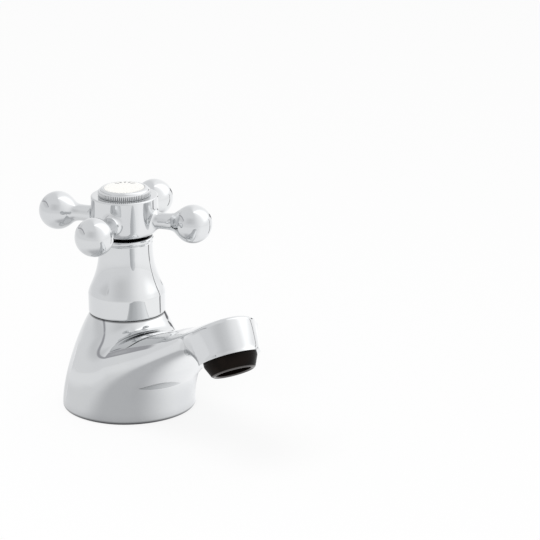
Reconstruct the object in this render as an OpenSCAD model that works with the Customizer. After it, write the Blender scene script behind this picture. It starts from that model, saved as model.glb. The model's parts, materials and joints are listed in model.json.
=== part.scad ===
// Cross-head pillar tap for a basin, with its compression valve and its fixings.
// Z is up, the origin is the middle of the base where it stands on the deck,
// and the spout points along +X. The valve is drawn shut.

/* [Body casting] */
// Diameter of the round foot
base_d = 50; // [48:0.5:58]
// Height of the shoulder that the shroud stands on
body_h = 36.5; // [35.5:0.5:40]
// Diameter of the shoulder
shoulder_d = 27.8; // [27.6:0.2:30]
// Height over which the foot stays almost upright
foot_upright = 10.3; // [8:0.1:13]
// How far below the shoulder the flank starts to turn in
flank_drop = 7.1; // [5:0.1:9]
// How far outside the shoulder the flank is where it turns in
flank_out = 4.8; // [3:0.1:6]
// Thickness of the cast skirt
skirt_wall = 3; // [2.4:0.1:4]
// Diameter of the post inside the skirt
post_d = 27; // [26.4:0.2:29]

/* [Spout] */
// Distance from the tap's axis to the middle of the outlet
reach = 83.5; // [76:0.5:95]
// Height of the middle of the outlet's joint
outlet_z = 43; // [40:0.5:50]
// Lean of the outlet away from straight down, in degrees
outlet_tilt = 31.4; // [22:0.2:36]
// Diameter of the spout's end at the joint
tip_d = 21.6; // [20.4:0.2:24]
// Height of the spout's end above the joint, along the outlet's axis
tip_h = 14.2; // [13:0.1:17]
// Slope of the spout's end across its top, in degrees
lid_slope = 24.5; // [18:0.5:30]
// Radius of the crown across its top
lid_crown = 26; // [14:1:60]
// Bulge of the spout's end above the joint
tip_bulge = 0.7; // [0.1:0.1:1.2]
// Radius of the rounded upper edge of the spout's end
tip_round = 3.4; // [2:0.1:6]
// Height of the crest of the spout at the tap's axis
crest_root_z = 26.3; // [20:0.1:30]
// How much the crest dips below a straight line
crest_dip = 0.9; // [0:0.1:2]
// Height of the underside's end inside the tip, along the outlet's axis
belly_end_h = 3.5; // [2.5:0.1:4.5]
// Length of the underside's straight run back from the tip
belly_run = 40; // [34:0.5:44]
// Slope of the underside at the tip, in degrees
belly_slope = 23; // [19:0.5:26]
// Half width of the spout where it leaves the skirt
root_half_w = 22.5; // [20:0.1:23.5]
// Half width that the spout's middle draws in towards
waist_half_w = 11.2; // [10.4:0.1:14]
// Squareness of the spout's section, where 2 is an ellipse
section_power = 2.3; // [2:0.1:2.8]

/* [Waterways] */
// Bore of the inlet below the valve seat
inlet_bore_d = 11; // [9:0.2:11.6]
// Bore of the spout's waterway
spout_bore_d = 7; // [5.6:0.2:7.4]
// Height of the spout's waterway at the tap's axis
waterway_root_z = 13.6; // [12.8:0.1:15]
// Diameter of the valve chamber
chamber_d = 19; // [18:0.2:19.4]
// Height of the chamber's floor
chamber_floor_z = 11.5; // [10.6:0.1:12]
// Height of the valve seat above the chamber's floor
seat_h = 1.5; // [1:0.1:2]
// Width of the seat's rim
seat_rim = 1.3; // [1:0.1:1.8]

/* [Tail and fixings] */
// Diameter over the thread of the tail
tail_d = 20.96; // [20.4:0.02:21.6]
// Bore of the tail
tail_bore_d = 12; // [10:0.2:13]
// Length of the tail below the deck face
tail_len = 46; // [40:1:60]
// Pitch of the thread
thread_pitch = 1.814; // [1.5:0.001:2.4]
// Depth of the thread
thread_depth = 1.1; // [0.8:0.1:1.3]
// Plain neck between the deck face and the thread
tail_neck_h = 3; // [1:0.5:8]
// Width of the run-out groove under the back nut
runout_w = 1.2; // [0.8:0.1:2]
// Depth of the run-out groove
runout_depth = 0.6; // [0.4:0.1:1]
// Chamfer at the end of the tail
tail_chamfer = 1; // [0.5:0.1:1.4]
// Diameter of the tail's spigot in the casting
spigot_d = 17.6; // [16.6:0.2:18.4]
// Length of the spigot
spigot_len = 8; // [7:0.2:8.6]
// Thickness of the deck gasket
gasket_t = 2; // [1.5:0.1:3]
// Thickness of the basin or deck that is clamped
deck_t = 18; // [10:1:22]
// Thickness of the fibre washer above the back nut
nut_washer_t = 1.5; // [1:0.1:2.5]
// Diameter of the fibre washer
nut_washer_d = 36; // [33:0.5:40]
// Width across flats of the back nut
nut_af = 27; // [26:0.5:30]
// Height of the back nut's hexagon
nut_h = 6.5; // [5:0.5:8]
// Diameter of the back nut's flange
nut_flange_d = 33; // [32:0.5:38]
// Thickness of the back nut's flange
nut_flange_t = 2; // [1.5:0.1:3]

/* [Headgear] */
// Diameter over the thread in the casting
gear_thread_d = 20.96; // [20.4:0.02:21.4]
// Height of the headgear's lower end above the seat
gear_nose_gap = 10.6; // [10.4:0.1:11.4]
// Width across flats of the headgear's hexagon
gear_af = 21; // [20.6:0.2:21.6]
// Height of the headgear's hexagon
gear_hex_h = 6.5; // [5:0.1:8]
// Diameter of the headgear's barrel
barrel_d = 16.4; // [15.6:0.2:16.8]
// How far the barrel's top lies below the shroud's top
barrel_drop = 4; // [3.4:0.1:5]
// Thickness of the washer under the hexagon
gear_washer_t = 1; // [0.8:0.1:1.6]
// Diameter of the washer under the hexagon
gear_washer_d = 24.4; // [23.4:0.2:24.8]
// Width across flats of the carrier's slideway
slideway_af = 13; // [12.8:0.1:13.4]

/* [Spindle and valve] */
// Diameter of the spindle in the barrel
spindle_d = 10; // [9:0.1:10.4]
// Diameter of the spindle's collar
collar_d = 12.6; // [12:0.1:12.7]
// Height of the spindle's collar
collar_h = 2.7; // [2:0.1:3.4]
// Diameter of the spindle's lower thread
lift_thread_d = 7; // [6:0.1:7.6]
// Diameter of the spindle's splined top
spline_d = 8.4; // [8:0.1:8.8]
// Number of splines
spline_count = 20; // [16:1:24]
// Lift of the valve from shut to fully open
valve_lift = 4.25; // [3.5:0.05:4.5]
// Thickness of the rubber valve washer
tap_washer_t = 4; // [3.6:0.1:4.4]
// Diameter of the rubber valve washer
tap_washer_d = 14.4; // [14:0.1:15]
// Thickness of the carrier's plate
plate_t = 1.5; // [1.2:0.1:1.6]
// Diameter of the carrier's stud
stud_d = 4; // [3.5:0.1:4.4]
// Width across flats of the nut on the stud
stud_nut_af = 7; // [6.6:0.1:7.4]
// Height of the nut on the stud
stud_nut_h = 2.6; // [2:0.1:2.8]
// Section diameter of the spindle's O-rings
spindle_ring_t = 1.8; // [1.5:0.05:1.9]
// Depth of the O-ring grooves below the spindle's surface
groove_depth = 1.4; // [1.2:0.05:1.5]
// Height of the lower O-ring groove's middle
ring_low_z = 49; // [46:0.5:50]
// Height between the two O-ring grooves
ring_pitch = 6; // [4.5:0.5:8]
// Thickness of the circlip
circlip_t = 1; // [0.8:0.1:1.2]
// Thickness of the thrust washer
thrust_t = 0.8; // [0.6:0.1:1]

/* [Shroud] */
// Diameter of the shroud's lower band
band_d = 28.8; // [28.6:0.1:32]
// Height of the band's crease above the shoulder
band_h = 8.1; // [7:0.1:10]
// Diameter of the shroud's neck
neck_d = 20.2; // [20:0.1:22]
// Diameter of the bead at the shroud's top
bead_d = 20.8; // [20.6:0.1:23]
// Height of the bead
bead_h = 1.9; // [1.5:0.1:2.5]
// Height of the shroud's top above the deck
shroud_top_z = 66; // [65.4:0.1:66.2]
// Thickness of the shroud's wall at its skirt
shroud_wall = 1.4; // [1.1:0.1:1.7]

/* [Handle] */
// Diameter of the handle's hub
hub_d = 25; // [24:0.2:28]
// Height of the hub
hub_h = 14.7; // [14.4:0.1:17]
// Gap between the shroud and the hub
hub_gap = 0.8; // [0.5:0.1:1.4]
// Diameter of the hub's underside
hub_foot_d = 16; // [15.4:0.2:19]
// Height over which the hub's underside rounds out
hub_foot_h = 3.4; // [2.6:0.1:4]
// Height of the arms above the hub's underside
arm_rise = 6.1; // [5:0.1:8]
// Diameter of the knobs
knob_d = 14.3; // [12:0.1:15]
// Distance from the axis to the middle of a knob
knob_reach = 27.3; // [25:0.1:32]
// Diameter of an arm's thinnest part
arm_d = 6.1; // [5:0.1:7.5]
// Length of the hollow that blends a knob into its arm
knob_blend = 6.5; // [5.5:0.1:7.5]
// Number of arms
arm_count = 4; // [3:1:5]
// Turn of the arms from the spout's direction
arm_turn = 40.6; // [0:0.2:90]
// Diameter of the spline bush
bush_d = 12; // [11.4:0.2:12.6]
// Diameter of the handle screw's head
screw_head_d = 8; // [7:0.1:9]
// Height of the handle screw's head
screw_head_h = 2.5; // [2:0.1:2.9]
// Diameter of the handle screw
screw_d = 4; // [3.5:0.1:4.4]
// Length of the handle screw below its head
screw_len = 11; // [9:0.5:13]

/* [Index] */
// Diameter over the reeds of the index ring
index_d = 19.6; // [19:0.1:21.5]
// Height of the reeded edge
reed_h = 2; // [1.5:0.1:2.6]
// Height of the sloping bezel above the reeds
bezel_h = 0.9; // [0.6:0.1:1.2]
// Diameter of the index disc
disc_d = 15; // [14.6:0.1:15.4]
// Height of the disc's dome above the bezel
dome_h = 0.9; // [0.5:0.1:1.4]
// Thickness of the disc's flat lower part
disc_t = 1.6; // [1.2:0.1:1.8]
// Diameter of the ring's spigot in the hub
index_spigot_d = 15.6; // [15:0.1:16]
// Depth of the ring's spigot in the hub
index_spigot_h = 1.6; // [1.2:0.1:2]

/* [Nozzle] */
// Diameter of the nozzle at the joint
nozzle_d = 19.2; // [18.8:0.1:19.8]
// Height of the nozzle below the joint
nozzle_h = 5.2; // [4.6:0.1:6]
// Diameter of the nozzle's mouth face
nozzle_mouth_d = 16.4; // [16:0.1:17]
// Bore of the nozzle
nozzle_bore_d = 12.6; // [12:0.1:13]
// Diameter of the nozzle's spigot in the spout
nozzle_spigot_d = 16; // [15.6:0.1:16.6]
// Length of the nozzle's spigot
nozzle_spigot_h = 5.5; // [4.8:0.1:6]
// Thickness of the flow straightener
straightener_t = 2; // [1.5:0.1:2.5]

/* [Fits] */
// Radial clearance of parts that turn or slide
running_gap = 0.05; // [0.02:0.01:0.08]
// Radial clearance of fixed parts
fit_gap = 0.04; // [0.02:0.01:0.06]
// Height gap between parts that pass each other
pass_gap = 0.3; // [0.2:0.05:0.4]

/* [Hidden] */
$fn = 96;
eps = 0.01;

base_r = base_d / 2;
shoulder_r = shoulder_d / 2;
tip_r = tip_d / 2;
post_r = post_d / 2;
seat_z = chamber_floor_z + seat_h;

// Foot to shoulder, as radius and height
skirt_steps = 14;
skirt_curve = bezier(
    [base_r, 0],
    [base_r, foot_upright],
    [shoulder_r + flank_out, body_h - flank_drop],
    [shoulder_r, body_h],
    skirt_steps);

// Spout's centre plane, as X and Z
tip_axis = [-sin(outlet_tilt), cos(outlet_tilt)];
outlet = [reach, outlet_z];
crest_root = [0, crest_root_z];
crest_tip = outlet + tip_h * tip_axis;
belly_tip = outlet + belly_end_h * tip_axis;
belly_root_in = 13;
belly_root = [base_r - belly_root_in, 0.5];
arm_rings = 14;
arm_sides = 32;
crest_curve = bezier(
    crest_root,
    crest_root + (crest_tip - crest_root) / 3 - [0, crest_dip],
    crest_root + (crest_tip - crest_root) * 2 / 3 - [0, crest_dip],
    crest_tip,
    arm_rings);
belly_curve = bezier(
    belly_root,
    [base_r, foot_upright - 1.3],
    belly_tip - belly_run * [cos(belly_slope), sin(belly_slope)],
    belly_tip,
    arm_rings);
half_width_curve = bezier(
    [0, root_half_w],
    [1 / 3, root_half_w - 1],
    [2 / 3, waist_half_w],
    [1, tip_r + tip_bulge],
    arm_rings);

// Heights of the valve's parts, shut
washer_bottom_z = seat_z;
plate_bottom_z = washer_bottom_z + tap_washer_t;
plate_top_z = plate_bottom_z + plate_t;
gear_nose_z = seat_z + gear_nose_gap;
carrier_top_z = gear_nose_z + 5.4;
slideway_top_z = carrier_top_z + valve_lift + pass_gap;
carrier_bore_z = plate_top_z + 0.5;
spindle_tip_z = carrier_bore_z + valve_lift + pass_gap;
collar_bottom_z = slideway_top_z + pass_gap;
collar_top_z = collar_bottom_z + collar_h;
collar_seat_z = collar_top_z + pass_gap;
gear_ledge_z = gear_nose_z + 0.9;
barrel_top_z = shroud_top_z - barrel_drop;
gear_hex_z = body_h + gear_washer_t;
barrel_z = gear_hex_z + gear_hex_h;
circlip_z = barrel_top_z + thrust_t + running_gap;
circlip_groove_depth = 0.8;
spline_z = circlip_z + circlip_t + 0.4;

// Heights of the handle's parts
hub_z = shroud_top_z + hub_gap;
hub_top_z = hub_z + hub_h;
recess_h = 5;
web_t = 2;
web_z = hub_top_z - recess_h - web_t;
recess_r = index_spigot_d / 2 + fit_gap;
spline_top_z = web_z - pass_gap;
bush_h = web_z - hub_z - 0.7;
reeds = 84;
reed_depth = 0.25;
bezel_r = disc_d / 2 + 0.35;
disc_z = hub_top_z + reed_h + bezel_h - disc_t;

// Tail and back nut
tail_r = tail_d / 2;
shoulder_z = gasket_t - 0.2;
runout_gap = 0.8;
tail_groove_h = 2.4;
tail_groove_depth = 1.1;
tail_groove_z = shoulder_z + (spigot_len - tail_groove_h) / 2;
spigot_r = spigot_d / 2;
nut_washer_z = -deck_t - nut_washer_t;
nut_bottom_z = nut_washer_z - nut_flange_t - nut_h;
runout_z = nut_bottom_z - runout_gap;
thread_turns = floor((-tail_neck_h - runout_z) / thread_pitch);

// Waterway in the spout, from the chamber to the outlet's socket
socket_h = nozzle_spigot_h + straightener_t + 1.4;
waterway_end = outlet + (socket_h - 0.6) * tip_axis;
waterway_start = [0, waterway_root_z];
waterway_len = norm(waterway_end - waterway_start);
waterway_rise = atan2(waterway_end[1] - waterway_start[1], waterway_end[0] - waterway_start[0]);
nozzle_r = nozzle_d / 2;
nozzle_spigot_r = nozzle_spigot_d / 2;
nozzle_groove_h = 1.6;
nozzle_groove_depth = 0.9;
nozzle_groove_z = nozzle_spigot_h - 3;
socket_r = nozzle_spigot_r + fit_gap;

function bezier(a, b, c, d, n) = [
    for (i = [0:n])
        let (t = i / n, s = 1 - t)
        s * s * s * a + 3 * s * s * t * b + 3 * s * t * t * c + t * t * t * d
];

// A point of the spout's rounded section: half width w, from the belly to the crest
function section_point(belly, crest, w, angle) =
    let (
        k = 2 / section_power,
        across = sign(cos(angle)) * pow(abs(cos(angle)), k),
        along = sign(sin(angle)) * pow(abs(sin(angle)), k),
        place = (belly + crest) / 2 + along * (crest - belly) / 2
    )
    [place[0], w * across, place[1]];

// Skin of a tube that is given as rings with the same number of points
module ring_loft(rings) {
    n = len(rings[0]);
    last = len(rings) - 1;
    points = [for (ring = rings) each ring];
    sides = [
        for (i = [0:last - 1], j = [0:n - 1])
            let (a = i * n + j, b = i * n + (j + 1) % n)
            each [[a, b, a + n], [b, b + n, a + n]]
    ];
    first_cap = [for (j = [n - 1:-1:0]) j];
    last_cap = [for (j = [0:n - 1]) last * n + j];
    polyhedron(points, concat(sides, [first_cap, last_cap]));
}

module at_outlet() {
    translate([reach, 0, outlet_z])
        rotate([0, -outlet_tilt, 0])
            children();
}

module hexagon(af, h) {
    cylinder(d = af / cos(30), h = h, $fn = 6);
}

module tube(r_out, r_in, h) {
    difference() {
        cylinder(r = r_out, h = h);
        translate([0, 0, -eps]) cylinder(r = r_in, h = h + 2 * eps);
    }
}

module skirt_solid() {
    rotate_extrude() polygon(concat([[0, 0]], skirt_curve, [[0, body_h]]));
}

module spout_arm() {
    ring_loft([
        for (i = [0:arm_rings])
            [for (j = [0:arm_sides - 1])
                section_point(
                    belly_curve[i],
                    crest_curve[i],
                    half_width_curve[i][1],
                    -360 * j / arm_sides)]
    ]);
}

// Round end whose top is crowned across and slopes on from the crest
module spout_tip() {
    round_h = tip_h + 1;
    side_h = round_h - tip_round;
    bulge_r = tip_r + tip_bulge;
    corner = [for (a = [0:15:90]) [bulge_r - tip_round + tip_round * cos(a), side_h + tip_round * sin(a)]];
    intersection() {
        at_outlet()
            rotate_extrude()
                polygon(concat(
                    [[0, 0], [tip_r, 0], [tip_r + tip_bulge * 0.7, side_h / 2]],
                    corner,
                    [[0, round_h]]));
        translate([crest_tip[0], 0, crest_tip[1]])
            rotate([0, 90 - lid_slope, 0])
                translate([lid_crown, 0, -2 * bulge_r]) cylinder(r = lid_crown, h = 4 * bulge_r);
    }
}

// Hollow between the skirt's wall and the post
module skirt_hollow() {
    top_z = chamber_floor_z + 2.5;
    wall = [for (p = skirt_curve) if (p[1] < top_z) [p[0] - skirt_wall, p[1]]];
    rotate_extrude()
        polygon(concat(
            [[post_r, -1], [base_r - skirt_wall, -1]],
            wall,
            [[wall[len(wall) - 1][0], top_z], [post_r, top_z]]));
}

module waterway(r, start, end) {
    translate([waterway_start[0], 0, waterway_start[1]])
        rotate([0, 90 - waterway_rise, 0])
            translate([0, 0, start]) cylinder(r = r, h = end - start);
}

module tap_body() {
    post_foot_z = gasket_t;
    color("silver")
        difference() {
            union() {
                skirt_solid();
                spout_arm();
                spout_tip();
            }
            skirt_hollow();
            // seat for the gasket and socket for the tail
            translate([0, 0, -1]) cylinder(r = post_r + eps, h = post_foot_z + 1);
            translate([0, 0, -1]) cylinder(r = spigot_r + fit_gap, h = spigot_len + post_foot_z + 1);
            translate([0, 0, -1]) cylinder(d = inlet_bore_d, h = seat_z + 2);
            // valve chamber round the raised seat
            difference() {
                translate([0, 0, chamber_floor_z]) cylinder(d = chamber_d, h = body_h);
                cylinder(r = inlet_bore_d / 2 + seat_rim, h = seat_z);
            }
            translate([0, 0, gear_ledge_z]) cylinder(d = gear_thread_d + 2 * fit_gap, h = body_h);
            waterway(spout_bore_d / 2, chamber_d / 2 - 1, waterway_len);
            at_outlet() translate([0, 0, -1]) cylinder(r = socket_r, h = socket_h + 1);
        }
}

// One ring groove of the tail's thread, round its own middle
module thread_groove() {
    open_h = 0.78 * thread_pitch;
    root_h = 0.16 * thread_pitch;
    rotate_extrude()
        polygon([
            [tail_r - thread_depth, -root_h / 2],
            [tail_r, -open_h / 2],
            [tail_r + 1, -open_h / 2],
            [tail_r + 1, open_h / 2],
            [tail_r, open_h / 2],
            [tail_r - thread_depth, root_h / 2]
        ]);
}

module tail_shank() {
    color("goldenrod")
        difference() {
            union() {
                translate([0, 0, tail_chamfer - tail_len])
                    cylinder(r = tail_r, h = tail_len - tail_chamfer + shoulder_z);
                translate([0, 0, -tail_len])
                    cylinder(r1 = tail_r - tail_chamfer, r2 = tail_r, h = tail_chamfer + eps);
                translate([0, 0, shoulder_z - eps]) cylinder(r = spigot_r, h = spigot_len - 0.3);
            }
            translate([0, 0, -tail_len - 1]) cylinder(d = tail_bore_d, h = tail_len + spigot_len + 4);
            // thread down to the nut, and a plain end for the supply's union
            for (i = [1:thread_turns])
                translate([0, 0, -tail_neck_h - (i - 0.5) * thread_pitch]) thread_groove();
            translate([0, 0, runout_z - runout_w])
                tube(tail_r + 1, tail_r - runout_depth, runout_w);
            translate([0, 0, tail_groove_z]) tube(spigot_r + 1, spigot_r - tail_groove_depth, tail_groove_h);
        }
}

module tail_seal() {
    color("dimgray")
        translate([0, 0, tail_groove_z + pass_gap])
            tube(spigot_r - 0.02, spigot_r - tail_groove_depth, tail_groove_h - 2 * pass_gap);
}

module base_gasket() {
    color("dimgray")
        tube(base_r - skirt_wall - 0.2, tail_r + 0.3, shoulder_z);
}

module back_nut() {
    color("goldenrod")
        translate([0, 0, nut_bottom_z])
            difference() {
                union() {
                    translate([0, 0, nut_h]) cylinder(d = nut_flange_d, h = nut_flange_t);
                    hexagon(nut_af, nut_h + eps);
                }
                translate([0, 0, -1]) cylinder(r = tail_r + fit_gap, h = nut_h + nut_flange_t + 2);
            }
}

module back_nut_washer() {
    color("saddlebrown")
        translate([0, 0, nut_washer_z])
            tube(nut_washer_d / 2, tail_r + 0.25, nut_washer_t);
}

module headgear_body() {
    nose_r = chamber_d / 2 - 0.5;
    spindle_bore_r = spindle_d / 2 + running_gap;
    color("goldenrod")
        difference() {
            union() {
                translate([0, 0, gear_nose_z]) cylinder(r = nose_r, h = body_h - gear_nose_z);
                translate([0, 0, gear_ledge_z + pass_gap])
                    cylinder(d = gear_thread_d, h = gear_hex_z - gear_ledge_z - pass_gap + eps);
                translate([0, 0, gear_hex_z]) hexagon(gear_af, gear_hex_h);
                translate([0, 0, barrel_z - eps]) cylinder(d = barrel_d, h = barrel_top_z - barrel_z + eps);
            }
            translate([0, 0, gear_nose_z - 1]) hexagon(slideway_af, slideway_top_z - gear_nose_z + 1);
            translate([0, 0, slideway_top_z - eps])
                cylinder(d = collar_d + 2 * running_gap, h = collar_seat_z - slideway_top_z + eps);
            translate([0, 0, collar_seat_z - eps]) cylinder(r = spindle_bore_r, h = body_h);
        }
}

module headgear_washer() {
    color("saddlebrown")
        translate([0, 0, body_h])
            tube(gear_washer_d / 2, gear_thread_d / 2 + fit_gap, gear_washer_t);
}

module thrust_washer() {
    color("white")
        translate([0, 0, barrel_top_z])
            tube(barrel_d / 2 - 1.4, spindle_d / 2 + running_gap, thrust_t);
}

module circlip() {
    root_r = spindle_d / 2 - circlip_groove_depth + running_gap;
    lug_r = spindle_d / 2 + 0.9;
    color("dimgray")
        translate([0, 0, circlip_z])
            difference() {
                union() {
                    cylinder(r = spindle_d / 2 + 0.8, h = circlip_t);
                    for (side = [-1, 1])
                        rotate([0, 0, side * 16])
                            translate([lug_r, 0, 0]) cylinder(r = 0.9, h = circlip_t, $fn = 24);
                }
                translate([0, 0, -1]) cylinder(r = root_r, h = circlip_t + 2);
                translate([0, -0.9, -1]) cube([lug_r + 2, 1.8, circlip_t + 2]);
            }
}

module bell_shroud() {
    band_r = band_d / 2;
    neck_r = neck_d / 2;
    bead_r = bead_d / 2;
    crease_z = body_h + band_h;
    neck_z = shroud_top_z - bead_h - 2.2;
    flare_h = 2.9;
    draw_in_h = 7.9;
    curve = bezier(
        [band_r - 0.4, crease_z],
        [band_r - 1.2, crease_z + flare_h],
        [neck_r, crease_z + draw_in_h],
        [neck_r, neck_z],
        12);
    foot_round = [for (a = [-90:22.5:0]) [band_r - 1 + cos(a), body_h + 1 + sin(a)]];
    bead_z = shroud_top_z - bead_h / 2;
    bead_round = [for (a = [-60:20:80]) [bead_r - 0.9 + 0.9 * cos(a), bead_z + bead_h / 2 * sin(a)]];
    // bore on the barrel, with a ledge over its top and the hollow under it
    bore_r = barrel_d / 2 + fit_gap;
    ledge_r = bore_r - 0.9;
    ledge_z = barrel_top_z + 2.5;
    hollow_r = band_r - 1.6;
    hollow_top_z = barrel_top_z - 6;
    inside = [
        for (i = [len(curve) - 1:-1:0])
            let (p = curve[i] - [shroud_wall, 0])
            if (p[1] < hollow_top_z && p[0] > bore_r + 0.3) p
    ];
    color("silver")
        rotate_extrude()
            polygon(concat(
                [[hollow_r, body_h]],
                foot_round,
                [[band_r, crease_z - 1.2]],
                curve,
                bead_round,
                [[ledge_r, shroud_top_z], [ledge_r, ledge_z], [bore_r, ledge_z], [bore_r, hollow_top_z]],
                inside,
                [[hollow_r, crease_z - 1.2]]));
}

module spout_nozzle() {
    lip = 0.8;
    mouth_r = nozzle_mouth_d / 2;
    color("#1c1613")
        at_outlet()
            difference() {
                union() {
                    rotate_extrude()
                        polygon([
                            [0, 0],
                            [nozzle_r, 0],
                            [nozzle_r, -0.9],
                            [mouth_r + 0.2, -nozzle_h + lip],
                            [mouth_r - 0.1, -nozzle_h + lip * 0.4],
                            [mouth_r - lip, -nozzle_h],
                            [0, -nozzle_h],
                        ]);
                    cylinder(d = nozzle_spigot_d, h = nozzle_spigot_h);
                }
                translate([0, 0, -nozzle_h - 1])
                    cylinder(d = nozzle_bore_d, h = nozzle_h + nozzle_spigot_h + 2);
                translate([0, 0, nozzle_groove_z])
                    tube(nozzle_spigot_r + 1, nozzle_spigot_r - nozzle_groove_depth, nozzle_groove_h);
            }
}

module nozzle_seal() {
    color("dimgray")
        at_outlet()
            translate([0, 0, nozzle_groove_z + 0.1])
                tube(nozzle_spigot_r - 0.02, nozzle_spigot_r - nozzle_groove_depth, nozzle_groove_h - 0.2);
}

module flow_straightener() {
    vane_t = 0.8;
    rim_r = nozzle_spigot_r - 0.1;
    color("whitesmoke")
        at_outlet()
            translate([0, 0, nozzle_spigot_h + 0.05]) {
                tube(rim_r, rim_r - 1.2, straightener_t);
                tube(2.2, 1.2, straightener_t);
                for (i = [0:7])
                    rotate([0, 0, i * 45])
                        translate([1.9, -vane_t / 2, 0]) cube([rim_r - 2.6, vane_t, straightener_t]);
            }
}

module spindle() {
    r = spindle_d / 2;
    groove_h = spindle_ring_t + 0.4;
    color("goldenrod")
        difference() {
            union() {
                translate([0, 0, spindle_tip_z])
                    cylinder(d = lift_thread_d, h = collar_bottom_z - spindle_tip_z + eps);
                translate([0, 0, collar_bottom_z]) cylinder(d = collar_d, h = collar_h);
                translate([0, 0, collar_top_z - eps]) cylinder(r = r, h = spline_z - collar_top_z + eps);
                translate([0, 0, spline_z - eps]) cylinder(d = spline_d, h = spline_top_z - spline_z + eps);
            }
            for (z = [ring_low_z, ring_low_z + ring_pitch])
                translate([0, 0, z - groove_h / 2]) tube(r + 1, r - groove_depth, groove_h);
            translate([0, 0, circlip_z - 0.05]) tube(r + 1, r - circlip_groove_depth, circlip_t + 0.1);
            // thread for the handle screw
            translate([0, 0, web_z + web_t - screw_len - 1])
                cylinder(d = screw_d + 2 * fit_gap, h = screw_len + 1);
            // splines
            for (i = [0:spline_count - 1])
                rotate([0, 0, i * 360 / spline_count])
                    translate([spline_d / 2, 0, spline_z + 1.4])
                        rotate([0, 0, 45])
                            translate([-0.3, -0.3, 0]) cube([0.6, 0.6, spline_top_z]);
        }
}

module spindle_o_rings() {
    r = spindle_d / 2;
    color("dimgray")
        for (z = [ring_low_z, ring_low_z + ring_pitch])
            translate([0, 0, z - spindle_ring_t / 2])
                tube(r + running_gap / 2, r - groove_depth, spindle_ring_t);
}

module spline_bush() {
    color("ivory")
        translate([0, 0, hub_z + 0.6])
            tube(bush_d / 2, spline_d / 2 + fit_gap, bush_h);
}

// One arm with its knob, along +X from the middle of the hub
module handle_arm() {
    knob_r = knob_d / 2;
    arm_r = arm_d / 2;
    leave = 58;
    ball = [for (a = [180:-8:leave]) [knob_r * cos(a), knob_r * sin(a)]];
    ogee = bezier(
        [knob_r * cos(leave), knob_r * sin(leave)],
        [knob_r * cos(leave) + 2.8, knob_r * sin(leave) - 1.75],
        [knob_blend, arm_r],
        [knob_blend + 4, arm_r],
        8);
    // where the arm meets the hub, as a distance from the knob's middle
    hub_x = knob_reach - hub_d / 2;
    root_r = arm_r + 1.3;
    flare = bezier(
        [hub_x - 1.4, arm_r],
        [hub_x - 0.5, arm_r + 0.1],
        [hub_x, arm_r + 0.5],
        [hub_x + 0.4, root_r],
        4);
    inner = [[hub_x + 3.2, root_r], [hub_x + 3.2, 0]];
    translate([knob_reach, 0, 0])
        rotate([0, -90, 0])
            rotate_extrude($fn = 64)
                polygon([for (p = concat(ball, ogee, flare, inner)) [max(p[1], 0), p[0]]]);
}

module cross_handle() {
    hub_r = hub_d / 2;
    foot_r = hub_foot_d / 2;
    edge = 0.5;
    under = bezier([foot_r, 0], [foot_r + 2.6, 0], [hub_r, 1], [hub_r, hub_foot_h], 6);
    top_edge = [for (a = [0:30:90]) [hub_r - edge + edge * cos(a), hub_h - edge + edge * sin(a)]];
    color("silver")
        difference() {
            translate([0, 0, hub_z]) {
                rotate_extrude() polygon(concat([[0, 0]], under, top_edge, [[0, hub_h]]));
                for (i = [0:arm_count - 1])
                    rotate([0, 0, arm_turn + i * 360 / arm_count])
                        translate([0, 0, arm_rise]) handle_arm();
            }
            translate([0, 0, hub_z - 1]) cylinder(r = bush_d / 2 + fit_gap, h = web_z - hub_z + 1);
            translate([0, 0, web_z - 1]) cylinder(d = screw_d + 0.6, h = web_t + 2);
            translate([0, 0, web_z + web_t]) cylinder(r = recess_r, h = recess_h + 1);
        }
}

module handle_screw() {
    head_z = web_z + web_t;
    color("lightgray")
        difference() {
            union() {
                translate([0, 0, head_z]) cylinder(d = screw_head_d, h = screw_head_h);
                translate([0, 0, head_z - screw_len]) cylinder(d = screw_d, h = screw_len + eps);
            }
            for (turn = [0, 90])
                rotate([0, 0, turn])
                    translate([-screw_head_d * 0.35, -0.5, head_z + screw_head_h - 1.3])
                        cube([screw_head_d * 0.7, 1, 2]);
        }
}

module index_ring() {
    r = index_d / 2;
    notch = 0.34;
    reed_top = reed_h - 0.2;
    bezel = [for (a = [0:22.5:90]) [bezel_r + (r - 0.5 - bezel_r) * cos(a), reed_h + bezel_h * sin(a)]];
    color("silver")
        translate([0, 0, hub_top_z])
            difference() {
                union() {
                    rotate_extrude()
                        polygon(concat(
                            [[0, 0], [r, 0], [r, reed_top], [r - 0.3, reed_h]],
                            bezel,
                            [[0, reed_h + bezel_h]]));
                    translate([0, 0, -index_spigot_h]) cylinder(d = index_spigot_d, h = index_spigot_h + eps);
                }
                translate([0, 0, reed_h + bezel_h - disc_t])
                    cylinder(r = disc_d / 2 + fit_gap, h = disc_t + 1);
                translate([0, 0, -index_spigot_h - 1])
                    cylinder(r = index_spigot_d / 2 - 1.6, h = reed_h + bezel_h);
                for (i = [0:reeds - 1])
                    rotate([0, 0, i * 360 / reeds])
                        translate([r + notch * 0.7 - reed_depth, 0, -eps])
                            rotate([0, 0, 45])
                                translate([-notch / 2, -notch / 2, 0]) cube([notch, notch, reed_top]);
            }
}

module index_disc() {
    r = disc_d / 2;
    crown = [for (i = [0:6]) let (a = i * 15) [r * cos(a), disc_t + dome_h * sin(a)]];
    color("white")
        translate([0, 0, disc_z])
            rotate_extrude() polygon(concat([[0, 0], [r, 0]], crown));
}

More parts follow.
